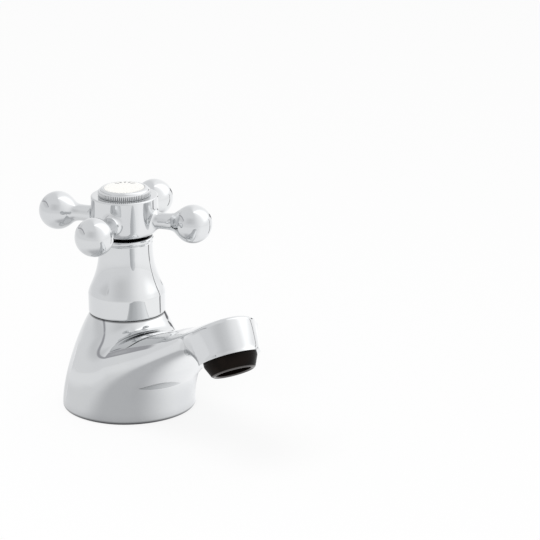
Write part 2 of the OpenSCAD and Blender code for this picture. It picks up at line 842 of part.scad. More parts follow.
module valve_carrier() {
    slide_af = slideway_af - 4 * running_gap;
    stud_len = tap_washer_t + stud_nut_h + 0.4;
    color("goldenrod")
        difference() {
            union() {
                translate([0, 0, plate_bottom_z - stud_len]) cylinder(d = stud_d, h = stud_len + eps);
                translate([0, 0, plate_bottom_z]) cylinder(d = tap_washer_d, h = plate_t);
                translate([0, 0, plate_top_z - eps]) hexagon(slide_af, carrier_top_z - plate_top_z + eps);
            }
            translate([0, 0, carrier_bore_z])
                cylinder(d = lift_thread_d + 2 * running_gap, h = carrier_top_z);
        }
}

module tap_washer() {
    color("#2a2a2a")
        translate([0, 0, washer_bottom_z])
            tube(tap_washer_d / 2, stud_d / 2 + fit_gap, tap_washer_t);
}

module washer_nut() {
    color("goldenrod")
        translate([0, 0, washer_bottom_z - stud_nut_h])
            difference() {
                hexagon(stud_nut_af, stud_nut_h);
                translate([0, 0, -1]) cylinder(d = stud_d + 2 * fit_gap, h = stud_nut_h + 2);
            }
}

tap_body();
tail_shank();
tail_seal();
base_gasket();
back_nut();
back_nut_washer();
headgear_body();
headgear_washer();
thrust_washer();
circlip();
bell_shroud();
spout_nozzle();
nozzle_seal();
flow_straightener();
spindle();
spindle_o_rings();
spline_bush();
cross_handle();
handle_screw();
index_ring();
index_disc();
valve_carrier();
tap_washer();
washer_nut();
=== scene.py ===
# Cross-head pillar tap: smooth skins, threads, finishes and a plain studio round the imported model.
import json
import math

import bpy
import numpy as np
from mathutils import Matrix, Vector


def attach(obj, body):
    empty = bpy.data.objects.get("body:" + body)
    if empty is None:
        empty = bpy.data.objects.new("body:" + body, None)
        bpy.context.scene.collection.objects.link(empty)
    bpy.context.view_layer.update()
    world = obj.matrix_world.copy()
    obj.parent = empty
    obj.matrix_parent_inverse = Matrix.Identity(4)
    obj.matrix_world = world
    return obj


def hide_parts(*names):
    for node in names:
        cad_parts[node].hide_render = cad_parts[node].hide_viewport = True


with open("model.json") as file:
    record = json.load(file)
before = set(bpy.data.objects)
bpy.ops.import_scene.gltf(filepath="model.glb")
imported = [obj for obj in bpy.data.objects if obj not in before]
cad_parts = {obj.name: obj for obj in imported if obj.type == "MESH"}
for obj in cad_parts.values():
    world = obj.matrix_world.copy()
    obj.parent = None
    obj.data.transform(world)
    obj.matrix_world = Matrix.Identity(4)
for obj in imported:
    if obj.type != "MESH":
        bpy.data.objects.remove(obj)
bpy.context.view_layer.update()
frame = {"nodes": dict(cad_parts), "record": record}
nodes = frame["nodes"]
mm = 0.001
weldStep = 0.0002  # millimetres within which points of a piece are one
toDegrees = math.degrees(1)
print("frame loaded:", len(nodes), "nodes")


# Curves and outlines, in millimetres

def bezier(points, steps=24):
    a, b, c, d = (np.array(p, float) for p in points)
    t = np.linspace(0, 1, steps + 1)[:, None]
    s = 1 - t
    return s ** 3 * a + 3 * s * s * t * b + 3 * s * t * t * c + t ** 3 * d


def arc(centre, radius, start, end, steps=8):
    angle = np.radians(np.linspace(start, end, steps + 1))
    return np.stack([centre[0] + radius * np.cos(angle), centre[1] + radius * np.sin(angle)], 1)


def line(*points):
    return np.array(points, float)


def path(*points):
    # straight strokes from point to point, each with its own normal
    return [line(p, q) for p, q in zip(points, points[1:])]


def corner(point, before, after, radius, steps=6):
    # rounds the corner at point between the points before and after it
    p, a, b = (np.array(q, float) for q in (point, before, after))
    toA = (a - p) / np.linalg.norm(a - p)
    toB = (b - p) / np.linalg.norm(b - p)
    half = math.acos(np.clip(toA @ toB, -1, 1)) / 2
    reach = radius / math.tan(half)
    middle = p + (toA + toB) / np.linalg.norm(toA + toB) * radius / math.sin(half)
    first = np.degrees(np.arctan2(*(p + toA * reach - middle)[::-1]))
    last = np.degrees(np.arctan2(*(p + toB * reach - middle)[::-1]))
    turn = (last - first + 180) % 360 - 180
    return arc(middle, radius, first, first + turn, steps)


def rounded(points, radii, steps=6):
    # strokes along a row of points, with each inner corner rounded by its own radius
    points = [np.array(p, float) for p in points]
    strokes, last = [], points[0]
    for i in range(1, len(points) - 1):
        if radii[i - 1] > 0:
            bend = corner(points[i], points[i - 1], points[i + 1], radii[i - 1], steps)
            strokes += [line(last, bend[0]), bend]
            last = bend[-1]
        else:
            strokes.append(line(last, points[i]))
            last = points[i]
    return strokes + [line(last, points[-1])]


# Meshes, gathered in millimetres with a normal for each face corner

def addObject(name, data):
    made = bpy.data.objects.new(name, data)
    bpy.context.scene.collection.objects.link(made)
    return made


class Shape:
    def __init__(self):
        self.points, self.faces, self.normals = [], [], []

    def add(self, points, faces, normals):
        base = len(self.points)
        self.points += [tuple(p) for p in points]
        self.faces += [tuple(base + i for i in f) for f in faces]
        self.normals += [tuple(n) for n in normals]

    def revolve(self, strokes, sides=160, place=None):
        # strokes are arrays of radius and height, each smooth in itself, with the solid on their left
        place = place or Matrix()
        around = np.linspace(0, 2 * math.pi, sides, endpoint=False)
        cosA, sinA = np.cos(around), np.sin(around)
        rotation = np.array(place.to_3x3())
        shift = np.array(place.translation)
        for stroke in strokes:
            stroke = np.array(stroke, float)
            keep = np.r_[True, np.linalg.norm(np.diff(stroke, axis=0), axis=1) > 1e-6]
            stroke = stroke[keep]
            if len(stroke) < 2:
                continue
            order = 2 if len(stroke) > 2 else 1
            length = np.r_[0, np.cumsum(np.linalg.norm(np.diff(stroke, axis=0), axis=1))]
            tangent = np.gradient(stroke, length, axis=0, edge_order=order)
            tangent /= np.linalg.norm(tangent, axis=1)[:, None]
            outR, outZ = tangent[:, 1], -tangent[:, 0]
            points = np.stack([stroke[:, :1] * cosA, stroke[:, :1] * sinA, stroke[:, 1:] + 0 * cosA], -1)
            normals = np.stack([outR[:, None] * cosA, outR[:, None] * sinA, outZ[:, None] + 0 * cosA], -1)
            points = points.reshape(-1, 3) @ rotation.T + shift
            normals = normals.reshape(-1, 3) @ rotation.T
            faces = []
            for i in range(len(stroke) - 1):
                lowOnAxis, highOnAxis = stroke[i, 0] < 1e-6, stroke[i + 1, 0] < 1e-6
                if lowOnAxis and highOnAxis:
                    continue
                for j in range(sides):
                    k = (j + 1) % sides
                    a, b, c, d = i * sides + j, i * sides + k, (i + 1) * sides + k, (i + 1) * sides + j
                    faces.append((a, c, d) if lowOnAxis else (a, b, d) if highOnAxis else (a, b, c, d))
            self.add(points, faces, [normals[v] for f in faces for v in f])
        return self

    def build(self, name):
        # points that coincide are welded, and the corner normals stay as they are
        keys = np.round(np.array(self.points) / weldStep).astype(np.int64)
        _, first, back = np.unique(keys, axis=0, return_index=True, return_inverse=True)
        back = back.ravel()
        points = np.array(self.points)[first] * mm
        mesh = bpy.data.meshes.new(name)
        mesh.from_pydata(points.tolist(), [], [tuple(int(back[i]) for i in f) for f in self.faces])
        mesh.shade_smooth()
        mesh.normals_split_custom_set(self.normals)
        return addObject(name, mesh)


def lathe(name, strokes, sides=160, place=None):
    return Shape().revolve(strokes, sides, place).build(name)


# how near a field's surface a point counts as on it, and how closely directions agree, as cosines
shading = {"skinReach": 0.02, "alongSkin": 0.93, "offSkin": 0.8}


def freshNormals(mesh, sharpAngle=32, field=None):
    # smooth normals with sharp edges by angle, and the field's own slope where the surface follows it
    mesh.shade_smooth()
    mesh.set_sharp_from_angle(angle=math.radians(sharpAngle))
    corners = np.zeros(len(mesh.loops) * 3, np.float32)
    mesh.corner_normals.foreach_get("vector", corners)
    corners = corners.reshape(-1, 3).astype(float)
    if field:
        points = np.zeros(len(mesh.vertices) * 3)
        mesh.vertices.foreach_get("co", points)
        points = points.reshape(-1, 3) / mm
        slope = gradient(field, points)
        onSkin = np.abs(field(points)) < shading["skinReach"]
        vertexOf = np.zeros(len(mesh.loops), np.int64)
        mesh.loops.foreach_get("vertex_index", vertexOf)
        count = len(mesh.polygons)
        centres, facing, sizes = np.zeros(count * 3), np.zeros(count * 3), np.zeros(count, np.int64)
        mesh.polygons.foreach_get("center", centres)
        mesh.polygons.foreach_get("normal", facing)
        mesh.polygons.foreach_get("loop_total", sizes)
        skinFace = np.repeat(np.abs(field(centres.reshape(-1, 3) / mm)) < shading["skinReach"], sizes)
        facing = np.repeat(facing.reshape(-1, 3), sizes, axis=0)
        slope, onSkin = slope[vertexOf], onSkin[vertexOf]
        agree = (corners * slope).sum(1) > shading["alongSkin"]
        use = onSkin & (agree | skinFace)
        corners[use] = slope[use]
        # a cut face keeps its own direction where it meets the skin
        seam = onSkin & ~skinFace & ((facing * slope).sum(1) < shading["offSkin"])
        corners[seam] = facing[seam]
    mesh.normals_split_custom_set(corners.tolist())


def ringSkin(name, rings, sharpAngle):
    # a closed skin through rows of points, in millimetres, with the last row joined to the first
    rows, sides = rings.shape[:2]
    faces = []
    for i in range(rows):
        row, following = i * sides, (i + 1) % rows * sides
        for j in range(sides):
            k = (j + 1) % sides
            faces.append((row + j, row + k, following + k, following + j))
    mesh = bpy.data.meshes.new(name)
    mesh.from_pydata((rings.reshape(-1, 3) * mm).tolist(), [], faces)
    freshNormals(mesh, sharpAngle)
    return addObject(name, mesh)


def cut(piece, tools, operation="DIFFERENCE"):
    # removes closed tool meshes from a piece, or joins or intersects them with it, and drops the tools
    for tool in tools:
        change = piece.modifiers.new("cut", "BOOLEAN")
        change.operation, change.object, change.solver = operation, tool, "MANIFOLD"
        bpy.context.view_layer.update()
        result = bpy.data.meshes.new_from_object(piece.evaluated_get(bpy.context.evaluated_depsgraph_get()))
        if len(result.polygons) == len(piece.data.polygons):
            print("no change made by", tool.name)
        piece.modifiers.clear()
        piece.data = result
        bpy.data.objects.remove(tool)


# Skins of blended forms, as fields that are negative inside

class Outline:
    # distance to a closed outline of radius and height, looked up in a fine table
    def __init__(self, strokes, pitch=0.06, margin=6):
        points = np.vstack(strokes)
        self.low = points.min(0) - margin
        self.low[0] = -0.5  # just past the axis
        self.pitch = pitch
        size = np.ceil((points.max(0) + margin - self.low) / pitch).astype(int)
        r, z = np.meshgrid(*(self.low[a] + pitch * np.arange(size[a]) for a in (0, 1)), indexing="ij")
        nearest = np.full(r.shape, 1e9)
        side = np.ones(r.shape)
        for a, b in zip(points, np.roll(points, -1, axis=0)):
            edge = b - a
            if edge @ edge < 1e-12:
                continue
            wr, wz = r - a[0], z - a[1]
            t = np.clip((wr * edge[0] + wz * edge[1]) / (edge @ edge), 0, 1)
            nearest = np.minimum(nearest, (wr - t * edge[0]) ** 2 + (wz - t * edge[1]) ** 2)
            above, below, left = z >= a[1], z < b[1], edge[0] * wz > edge[1] * wr
            side = np.where((above & below & left) | ~(above | below | left), -side, side)
        self.table = side * np.sqrt(nearest)

    def __call__(self, r, z):
        top = np.array(self.table.shape) - 1.001
        i = np.clip((r - self.low[0]) / self.pitch, 0, top[0])
        j = np.clip((z - self.low[1]) / self.pitch, 0, top[1])
        i0, j0 = i.astype(int), j.astype(int)
        u, v = i - i0, j - j0
        t = self.table
        near = (t[i0, j0] * (1 - v) + t[i0, j0 + 1] * v) * (1 - u)
        return near + (t[i0 + 1, j0] * (1 - v) + t[i0 + 1, j0 + 1] * v) * u


def ramp(value, start, end):
    return np.clip((value - start) / (end - start), 0, 1)


def blendForms(a, b, width):
    h = np.maximum(width - np.abs(a - b), 0) / width
    return np.minimum(a, b) - h * h * width / 4


def gradient(field, points, reach=0.08):
    steps = np.eye(3) * reach
    slope = np.stack([field(points + s) - field(points - s) for s in steps], -1)
    return slope / np.maximum(np.linalg.norm(slope, axis=-1, keepdims=True), 1e-9)


def surfaceNet(name, field, low, high, step):
    # one vertex in each cell that the surface crosses, and one face for each edge of the grid that it crosses
    axes = [np.arange(a, b + step, step) for a, b in zip(low, high)]
    grid = np.stack(np.meshgrid(*axes, indexing="ij"), -1)
    value = field(grid)
    cells = tuple(n - 1 for n in value.shape)
    total, count = np.zeros(cells + (3,)), np.zeros(cells)
    crossings = []
    for axis in range(3):
        first, second = [slice(None)] * 3, [slice(None)] * 3
        first[axis], second[axis] = slice(0, -1), slice(1, None)
        v0, v1 = value[tuple(first)], value[tuple(second)]
        crosses = (v0 < 0) != (v1 < 0)
        t = np.where(crosses, v0 / np.where(crosses, v0 - v1, 1), 0)
        place = grid[tuple(first)] + t[..., None] * step * np.eye(3)[axis]
        crossings.append((crosses, v0 < 0))
        u, w = [a for a in range(3) if a != axis]
        for du in (0, 1):
            for dw in (0, 1):
                part = [slice(None)] * 3
                part[u], part[w] = slice(du, du + cells[u]), slice(dw, dw + cells[w])
                hit = crosses[tuple(part)]
                total += np.where(hit[..., None], place[tuple(part)], 0)
                count += hit
    active = count > 0
    index = np.full(cells, -1)
    index[active] = np.arange(active.sum())
    points = total[active] / count[active][:, None]
    # a few damped steps settle the points
    for turn in range(4):
        slope = gradient(field, points)
        points = points - np.clip(field(points), -step, step)[:, None] * slope * 0.9
    faces = []
    for axis, (crosses, startsInside) in enumerate(crossings):
        u, w = [a for a in range(3) if a != axis]
        at = np.argwhere(crosses)
        at = at[(at[:, u] > 0) & (at[:, w] > 0) & (at[:, u] < cells[u]) & (at[:, w] < cells[w])]
        outward = startsInside[tuple(at.T)] ^ (axis == 1)
        ring = []
        for du, dw in ((-1, -1), (0, -1), (0, 0), (-1, 0)):
            cell = at.copy()
            cell[:, u] += du
            cell[:, w] += dw
            ring.append(index[tuple(cell.T)])
        ring = np.stack(ring, 1)
        ring[~outward] = ring[~outward][:, ::-1]
        faces.append(ring)
    mesh = bpy.data.meshes.new(name)
    mesh.from_pydata((points * mm).tolist(), [], np.vstack(faces).tolist())
    return addObject(name, mesh)


# Shader nodes, written as expressions

class Wire:
    # one socket of a material, on which arithmetic adds Math nodes
    def __init__(self, paint, socket):
        self.paint, self.socket = paint, socket

    def __add__(self, other):
        return self.paint.math("ADD", self, other)

    def __radd__(self, other):
        return self.paint.math("ADD", other, self)

    def __sub__(self, other):
        return self.paint.math("SUBTRACT", self, other)

    def __rsub__(self, other):
        return self.paint.math("SUBTRACT", other, self)

    def __mul__(self, other):
        return self.paint.math("MULTIPLY", self, other)

    def __rmul__(self, other):
        return self.paint.math("MULTIPLY", other, self)

    def __truediv__(self, other):
        return self.paint.math("DIVIDE", self, other)

    def __rtruediv__(self, other):
        return self.paint.math("DIVIDE", other, self)

    def __pow__(self, other):
        return self.paint.math("POWER", self, other)

    def __rpow__(self, other):
        return self.paint.math("POWER", other, self)


class Paint:
    # a node tree with one method that makes any node
    def __init__(self, tree):
        self.tree = tree
        tree.nodes.clear()

    def node(self, kind, settings=None, sockets=None, output=0):
        made = self.tree.nodes.new("ShaderNode" + kind)
        for name, value in (settings or {}).items():
            setattr(made, name, value)
        for name, value in (sockets or {}).items():
            if isinstance(value, Wire):
                self.tree.links.new(value.socket, made.inputs[name])
            else:
                made.inputs[name].default_value = value
        return Wire(self, made.outputs[output]) if made.outputs else None

    def math(self, operation, first, second=0.0):
        return self.node("Math", {"operation": operation}, {0: first, 1: second})

    def axes(self, place):
        return [self.node("SeparateXYZ", {}, {0: place}, output=axis) for axis in "XYZ"]

    def smooth(self, value, low, high, toLow=0.0, toHigh=1.0):
        # eases from one number to the other as value goes from low to high
        return self.node("MapRange", {"interpolation_type": "SMOOTHSTEP"},
                         {"Value": value, "From Min": low, "From Max": high, "To Min": toLow, "To Max": toHigh})

    def mix(self, factor, first, second):
        # 6, 7 and 2 are the colour sockets of a Mix node
        return self.node("Mix", {"data_type": "RGBA"}, {0: factor, 6: first, 7: second}, output=2)

    def noise(self, scale, detail=3.0, roughness=0.5, stretch=None):
        place = self.node("TexCoord", output="Object")
        if stretch:
            place = self.node("Mapping", {}, {"Vector": place, "Scale": stretch})
        return self.node("TexNoise", {}, {"Vector": place, "Scale": scale, "Detail": detail,
                                          "Roughness": roughness})

    def bump(self, height, distance, strength=1.0):
        return self.node("Bump", {}, {"Height": height, "Distance": distance, "Strength": strength})

    def shader(self, colour, roughness, metallic=0.0, normal=None, **more):
        sockets = {"Base Color": colour, "Roughness": roughness, "Metallic": metallic, **more}
        if normal:
            sockets["Normal"] = normal
        made = self.node("BsdfPrincipled", {}, sockets)
        self.node("OutputMaterial", {}, {"Surface": made})


def newPaint(name):
    material = bpy.data.materials.new(name)
    material.use_nodes = True
    return material, Paint(material.node_tree)


def rgb(r, g, b):
    return (r, g, b, 1.0)


# Body casting: a revolved foot and a rising spout that flows out of it

casting = {
    # curves of reach and height, apart from halfWidth, which is reach and half width
    "foot": [(25, 1), (25, 10.6), (18.6, 29.4), (13.9, 36.5)],
    "crest": [(0, 26.3), (25, 35.8), (50, 43.4), (78, 55.6)],
    "lid": [(56, 46.3), (68, 50.8), (80, 58.2), (92, 61)],
    "lidLead": (12, 0.05),
    "lidSlope": 0.9,
    "lidCrown": 26,
    "lidBlend": 1.2,
    "belly": [(12, -2), (25, 10), (43, 29), (78, 45)],
    "ridge": [(0, 11), (25, 21), (50, 34.5), (80, 51)],
    "halfWidth": [(0, 22.5), (20, 21.5), (44, 11.8), (84, 10.8)],
    "footLow": -1.2,
    "footInset": 22.6,
    "footRound": 1,
    "footRunOn": 4,
    "armEnd": 78,
    "upperPower": 2.2,
    "lowerPower": 2.0,
    "tipPower": 1.2,
    "squareReach": (40, 78),
    "outlet": (83.5, 43),
    "tilt": 31.4,
    "tipRadius": 10.75,
    "tipHeight": 15,
    "tipBulge": 0.75,
    "tipRound": 3.5,
    "tipCrown": 0.5,
    "tipRunOn": 4,
    "lipFlare": 0.29,
    "lipReach": 0.9,
    "saddleBlend": 5,
    "webBlend": 10,
    "webHeights": (30, 14),
    "webStart": (6, 22),
    "webEnd": (60, 40),
    "tipBlend": 7,
    # hollows, each bore as its radius and its upper end
    "wall": 3,
    "wallTop": 14,
    "bossRadius": 13.5,
    "bossLow": 2,
    "tailBore": (8.84, 10),
    "throat": (5.5, 13),
    "seatGroove": (6.8, 11.5),
    "valveBore": (9.5, 24.5),
    "headBore": (10.52, 36.5),
    "socket": (8.04, 8.9),
    "wayRadius": 3.5,
    "wayFrom": 13.6,
    "wayTo": 8.3,
    "wayStart": 8.5,
    "boxLow": (-27, -27, -5),
    "boxHigh": (97, 27, 61),
    "gridStep": 0.5,
}
outletPlace = (Matrix.Translation((casting["outlet"][0], 0, casting["outlet"][1]))
               @ Matrix.Rotation(math.radians(-casting["tilt"]), 4, "Y"))


def makeCastingField(c):
    footCurve = bezier(c["foot"], 120)
    underside = line((0, c["footLow"]), (c["footInset"], c["footLow"]))
    edge = arc((c["foot"][0][0] - c["footRound"], c["foot"][0][1]), c["footRound"], -80, 0)
    lean = footCurve[-1] - footCurve[-2]
    footTop = footCurve[-1] + lean / lean[1] * c["footRunOn"]
    foot = Outline([underside, edge, footCurve, line(footTop, (0, footTop[1]))], pitch=0.08, margin=18)
    sideHeight = c["tipHeight"] - c["tipRound"]
    rise = np.linspace(0, 1, 61)
    flare = c["lipFlare"] * np.exp(-(rise * sideHeight / c["lipReach"]) ** 2)
    bulge = c["tipRadius"] + c["tipBulge"] * np.sin(math.pi / 2 * rise) + flare
    cap = arc((bulge[-1] - c["tipRound"], sideHeight), c["tipRound"], 0, 90, 60)
    mouth = line((0, -c["tipRunOn"]), (bulge[0], -c["tipRunOn"]))
    side = np.stack([bulge, rise * sideHeight], 1)
    tip = Outline([mouth, side, cap, line((0, c["tipHeight"] + c["tipCrown"]))])
    crest, belly, ridge, width, lid = (
        bezier(c[name], 400) for name in ("crest", "belly", "ridge", "halfWidth", "lid"))
    # before its start the lid curves up and away from the crest
    (startX, startZ), (nextX, nextZ) = c["lid"][:2]
    length, bend = c["lidLead"]
    back = np.arange(-length, 0, 0.5)
    lead = startZ + (nextZ - startZ) / (nextX - startX) * back + bend * back ** 2
    lid = np.vstack([np.stack([startX + back, lead], 1), lid])
    tilt = math.radians(c["tilt"])
    along, across = (-math.sin(tilt), math.cos(tilt)), (math.cos(tilt), math.sin(tilt))

    def field(p):
        x, y, z = p[..., 0], p[..., 1], p[..., 2]
        dx, dz = x - c["outlet"][0], z - c["outlet"][1]
        tipForm = tip(np.hypot(dx * across[0] + dz * across[1], y), dx * along[0] + dz * along[1])
        top, low, middle, half, over = (
            np.interp(x, curve[:, 0], curve[:, 1]) for curve in (crest, belly, ridge, width, lid))
        lidForm = (z - over + y * y / (2 * c["lidCrown"])) * c["lidSlope"]
        above = z > middle
        squareness = c["tipPower"] * ramp(x, *c["squareReach"]) ** 2
        power = np.where(above, c["upperPower"], c["lowerPower"]) + squareness
        tall = np.maximum(np.where(above, top - middle, middle - low), 0.5)
        sideways, upright = np.abs(y / half), np.abs((z - middle) / tall)
        size = (sideways ** power + upright ** power) ** (1 / power)
        steep = np.hypot(sideways ** (power - 1) / half, upright ** (power - 1) / tall)
        steep = steep / np.maximum(size, 1e-3) ** (power - 1)
        # near the arm's middle the steepness fades out, so the depth is held there
        arm = np.where(size > 0.3, (size - 1) / np.maximum(steep, 1e-3), -0.7 * np.minimum(half, tall))
        arm = np.maximum(np.clip(arm, -12, 40), np.maximum(x - c["armEnd"], -x))
        inWeb = ramp(z, *c["webHeights"]) * ramp(x, *c["webStart"]) * ramp(x, *c["webEnd"])
        rootBlend = c["saddleBlend"] + (c["webBlend"] - c["saddleBlend"]) * inWeb * inWeb * (3 - 2 * inWeb)
        whole = blendForms(blendForms(foot(np.hypot(x, y), z), arm, rootBlend), tipForm, c["tipBlend"])
        return -blendForms(-whole, -lidForm, c["lidBlend"])

    return field


def makeHollow(c):
    # also trims the skin level below the foot and above the shoulder
    tailBore, throat, groove, valveBore, headBore = (
        c[name] for name in ("tailBore", "throat", "seatGroove", "valveBore", "headBore"))
    wall = bezier(c["foot"], 40) - (c["wall"], 0)
    wall = wall[wall[:, 1] < c["wallTop"]]
    return lathe("hollow", [
        line((0, -8), (60, -8), (60, 0), (22, 0), wall[0]),
        wall,
        line(wall[-1], (wall[-1][0], c["wallTop"]), (c["bossRadius"], c["wallTop"]),
             (c["bossRadius"], c["bossLow"]), (tailBore[0], c["bossLow"]), tailBore,
             (throat[0], tailBore[1]), throat),
        line(throat, (groove[0], throat[1]), groove, (valveBore[0], groove[1]), valveBore,
             (headBore[0], valveBore[1]), headBore),
        line(headBore, (20, headBore[1]), (20, 46), (0, 46))], 128)


def makeSocket(c):
    # also trims the lip level
    radius, depth = c["socket"]
    sides = line((0, -9), (16, -9), (16, 0), (radius, 0), (radius, depth), (0, depth))
    return lathe("socket", [sides], 96, outletPlace)


def makeWaterway(c):
    start, end = Vector((0, 0, c["wayFrom"])), outletPlace @ Vector((0, 0, c["wayTo"]))
    length = (end - start).length
    turn = (end - start).normalized().to_track_quat("Z", "Y").to_matrix().to_4x4()
    sides = line((0, c["wayStart"]), (c["wayRadius"], c["wayStart"]), (c["wayRadius"], length), (0, length))
    return lathe("waterway", [sides], 48, Matrix.Translation(start) @ turn)


def makeCasting(c):
    field = makeCastingField(c)
    piece = surfaceNet("bodyCasting", field, c["boxLow"], c["boxHigh"], c["gridStep"])
    cut(piece, [makeHollow(c), makeSocket(c), makeWaterway(c)])
    freshNormals(piece.data, 32, field)
    return piece


bodyCasting = makeCasting(casting)
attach(bodyCasting, "root")
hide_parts("tap_body")
print("body casting:", len(bodyCasting.data.vertices), "points")


# Bell shroud: straight band, swept neck and a bead under the handle

bell = {
    "bandRadius": 14.4,
    "low": 36.5,
    "crease": 44.3,
    "creaseRound": 2.6,
    "edgeRound": 1.1,
    "sweepStart": (-0.5, 1.5),  # from the crease
    "sweepLean": (-0.7, 2.1),
    "neckRadius": 10.1,
    "neckFrom": 52.5,
    "neckTo": 61.5,
    "top": 66,
    "beadRadius": 10.4,
    "beadHeight": 1.9,
    "wall": 1.6,
    "wallTop": 43.4,
    "inside": [(7.34, 64.5), (8.24, 64.5), (8.24, 56), (9, 54)],
}


def makeBell(b):
    band, neck, top = b["bandRadius"], b["neckRadius"], b["top"]
    neckTop = top - b["beadHeight"] - 0.5
    half = b["beadHeight"] / 2
    inner = band - b["wall"]
    leave = np.array([band + b["sweepStart"][0], b["crease"] + b["sweepStart"][1]])
    sweep = bezier([leave, leave + b["sweepLean"], (neck, b["neckFrom"]), (neck, b["neckTo"])], 60)
    strokes = rounded([(inner, b["low"]), (band, b["low"]), (band, b["crease"]), leave],
                      [b["edgeRound"], b["creaseRound"]], 10)
    # the short run after the crease joins the sweep, so that they shade as one
    strokes, sweep = strokes[:-1], np.vstack([strokes[-1][:1], sweep])
    bead = arc((b["beadRadius"] - half, top - half), half, -70, 90, 16)
    underBead = bezier([(neck, neckTop), (neck, neckTop + 0.3), bead[0] - (0.15, 0.2), bead[0]], 8)
    inside = [(b["inside"][0][0], top), *b["inside"], (inner, b["wallTop"]), (inner, b["low"])]
    strokes += [sweep, line(sweep[-1], (neck, neckTop)), underBead, bead]
    return lathe("bellShroud", strokes + path(bead[-1], *inside), 224)


bellShroud = makeBell(bell)
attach(bellShroud, "root")
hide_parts("bell_shroud")


# Cross handle: a hub with four arms that swell into ball knobs

handle = {
    "low": 66.8,
    "height": 14.7,
    "hubRadius": 12.5,
    "footRadius": 8,
    "rimRound": 0.5,
    "armHeight": 6.1,
    "armTurn": 40.6,
    "knobReach": 27.295,
    "knobRadius": 7.15,
    "armRadius": 3.05,
    "ballEnd": 58,
    "neckLean": (-1.75, 2.8),
    "neckFrom": 6.5,
    "neckTo": 10.5,
    "underReach": 2.6,
    "underRise": (1, 3.4),
    "blend": 2.2,
    # bores from below, each as its radius and its upper end over the hub's foot
    "bushBore": (6.04, 7.7),
    "screwBore": (2.3, 9.7),
    "well": (7.84, 16),
    "boxLow": (-28.6, -28.6, 65.4),
    "boxHigh": (28.6, 28.6, 83),
    "gridStep": 0.4,
}


def makeHandleField(h):
    rim = h["hubRadius"] - h["rimRound"]
    under = bezier([(h["footRadius"], 0), (h["footRadius"] + h["underReach"], 0),
                    (h["hubRadius"], h["underRise"][0]), (h["hubRadius"], h["underRise"][1])], 60)
    hub = Outline([line((0, 0)), under, arc((rim, h["height"] - h["rimRound"]), h["rimRound"], 0, 90, 16),
                   line((0, h["height"]))])
    ball = arc((0, 0), h["knobRadius"], 180, h["ballEnd"], 120)[:, ::-1]
    leave, thin = ball[-1], h["armRadius"]
    neck = bezier([leave, leave + h["neckLean"], (thin, h["neckFrom"]), (thin, h["neckTo"])], 60)
    # the arm lies along the knob's own axis, with its middle at height 0
    arm = Outline([ball, neck, line((thin, h["knobReach"]), (0, h["knobReach"]))])

    def field(p):
        turn = np.arctan2(p[..., 1], p[..., 0]) - math.radians(h["armTurn"])
        turn = (turn + math.pi / 4) % (math.pi / 2) - math.pi / 4
        reach = np.hypot(p[..., 0], p[..., 1])
        z = p[..., 2] - h["low"]
        armForm = arm(np.hypot(reach * np.sin(turn), z - h["armHeight"]), h["knobReach"] - reach * np.cos(turn))
        return blendForms(hub(reach, z), armForm, h["blend"])

    return field


def makeHandle(h):
    field = makeHandleField(h)
    piece = surfaceNet("crossHandle", field, h["boxLow"], h["boxHigh"], h["gridStep"])
    bush, screw, well = h["bushBore"], h["screwBore"], h["well"]
    bore = line((0, -1), (bush[0], -1), bush, (screw[0], bush[1]), screw, (well[0], screw[1]), well,
                (0, well[1]))
    cut(piece, [lathe("bore", [bore], 96, Matrix.Translation((0, 0, h["low"])))])
    freshNormals(piece.data, 32, field)
    return piece


crossHandle = makeHandle(handle)
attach(crossHandle, "handle")
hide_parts("cross_handle")
print("cross handle:", len(crossHandle.data.vertices), "points")


# Index on top of the hub: a reeded ring round a domed white disc

index = {
    "bottom": 79.9,
    "low": 81.5,
    "radius": 9.8,
    "spigotRadius": 7.8,
    "reeds": 84,
    "reedDepth": 0.26,
    "reedHeight": 1.9,
    "reedShape": 0.6,
    "stepsPerReed": 8,
    "reedsFrom": (81.5, 81.8),
    "reedsTo": (83.1, 83.35),
    "bezelTop": 84.4,
    "bezelRadius": 7.9,
    "rebate": (7.56, 82.8),
    "innerRadius": 6.2,
    "discRadius": 7.5,
    "discEdge": 84.3,
    "discTop": 85.3,
    "markTurn": 150,
    "markPitch": 24,
    "markSpan": (0.57, 0.61),  # cosines of the turn at which the marks end
    "markReach": (2.9, 5.2, 0.08),
    "grooveShade": (81.75, 83.2, 0.12),
}


def makeIndexRing(d):
    radius, low, top = d["radius"], d["low"], d["low"] + d["reedHeight"]
    lip = np.array([(d["spigotRadius"], d["bottom"]), (d["spigotRadius"], low), (radius - 0.5, low),
                    (radius - 0.15, low + 0.1)])
    side = np.array([(radius, low + rise) for rise in (0.3, 0.7, 1.2, 1.6)])
    shoulder = np.array([(radius - 0.18, low + 1.82), (radius - 0.45, top)])
    edge = np.array((radius - 0.6, top + 0.08))
    bevel = bezier([edge, edge + (-0.2, 0.62), (d["bezelRadius"] + 0.5, d["bezelTop"]),
                    (d["bezelRadius"], d["bezelTop"])], 14)
    well = np.array([(d["rebate"][0], d["bezelTop"] - 0.1), d["rebate"], (d["innerRadius"], d["rebate"][1]),
                     (d["innerRadius"], d["bottom"])])
    profile = np.vstack([lip, side, shoulder, bevel, well])
    outside = profile[:, 0] > radius - 0.49
    grip = np.interp(profile[:, 1], d["reedsFrom"] + d["reedsTo"], [0, 1, 1, 0]) * outside
    sides = d["reeds"] * d["stepsPerReed"]
    around = np.arange(sides) * 2 * math.pi / sides
    wave = 0.5 + 0.5 * np.cos(around * d["reeds"])
    reach = profile[:, :1] - grip[:, None] * d["reedDepth"] * (1 - wave ** d["reedShape"])
    return ringSkin("indexRing", np.stack([reach * np.cos(around), reach * np.sin(around),
                                           profile[:, 1:] + 0 * around], -1), 40)


